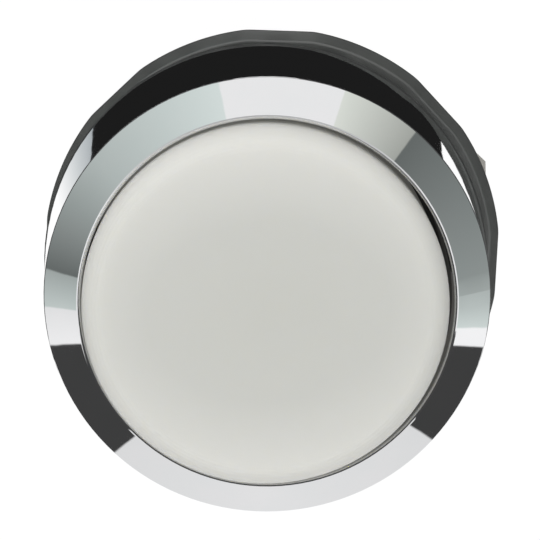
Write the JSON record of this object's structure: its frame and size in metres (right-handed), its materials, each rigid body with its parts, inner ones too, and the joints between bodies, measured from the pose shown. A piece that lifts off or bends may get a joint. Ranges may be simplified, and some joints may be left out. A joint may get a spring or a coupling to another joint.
{
  "type": "arcade button",
  "caption": "Round screw-in arcade push button: white plunger in a tall bright bezel, black threaded barrel with nut, snap-action switch clipped on behind.",
  "frame": {"origin": "on the button's axis, in the plane of the flange face that seats on the panel", "axes": "+Z along the axis out of the panel towards the player; +X towards the switch's end terminal"},
  "size_m": [0.0376, 0.035, 0.0674],
  "materials": {
    "chrome_plating": "polished",
    "black_plastic": "satin",
    "white_plastic": "satin",
    "switch_plastic": "matte",
    "switch_button_plastic": "satin",
    "spring_steel": "drawn wire",
    "terminal_metal": "plated",
    "blade_metal": "rolled",
    "contact_metal": "polished"
  },
  "bodies": {
    "housing": {"bezel": "chrome_plating", "barrel": "black_plastic", "return_spring": "spring_steel", "mounting_nut": "black_plastic", "switch_case": "switch_plastic", "switch_cover": "switch_plastic", "common_terminal": "terminal_metal", "normally_open_terminal": "terminal_metal", "normally_closed_terminal": "terminal_metal", "normally_open_contact": "contact_metal", "normally_closed_contact": "contact_metal"},
    "plunger": {"plunger": "white_plastic"},
    "switch_button": {"switch_button": "switch_button_plastic"},
    "snap_blade": {"moving_blade": "blade_metal", "moving_contact": "contact_metal"},
    "toggle_spring": {"tension_spring": "spring_steel"}
  },
  "joints": [
    {"name": "plunger_press", "type": "slide", "parent": "housing", "child": "plunger", "axis": [0, 0, -1], "range_m": [0, 0.0024], "stiffness_N_per_m": 200, "springref_m": -0.006, "deforming": ["return_spring"]},
    {"name": "switch_button_press", "type": "slide", "parent": "housing", "child": "switch_button", "axis": [0, 0, -1], "range_m": [0, 0.002]},
    {"name": "blade_snap", "type": "hinge", "parent": "switch_button", "child": "snap_blade", "pos_m": [-0.004, 0, -0.03585], "axis": [0, -1, 0], "range_deg": [0, 4.22]},
    {"name": "tension_spring_swing", "type": "hinge", "parent": "housing", "child": "toggle_spring", "pos_m": [-0.0103, 0, -0.03685], "axis": [0, 1, 0], "range_deg": [0, 4.35]}
  ],
  "couplings": [
    {"joint": "switch_button_press", "follows": "plunger_press", "ratio": 0.83333},
    {"joint": "blade_snap", "follows": "plunger_press", "rad_per_m": 30.62},
    {"joint": "tension_spring_swing", "follows": "plunger_press", "rad_per_m": 31.55}
  ]
}
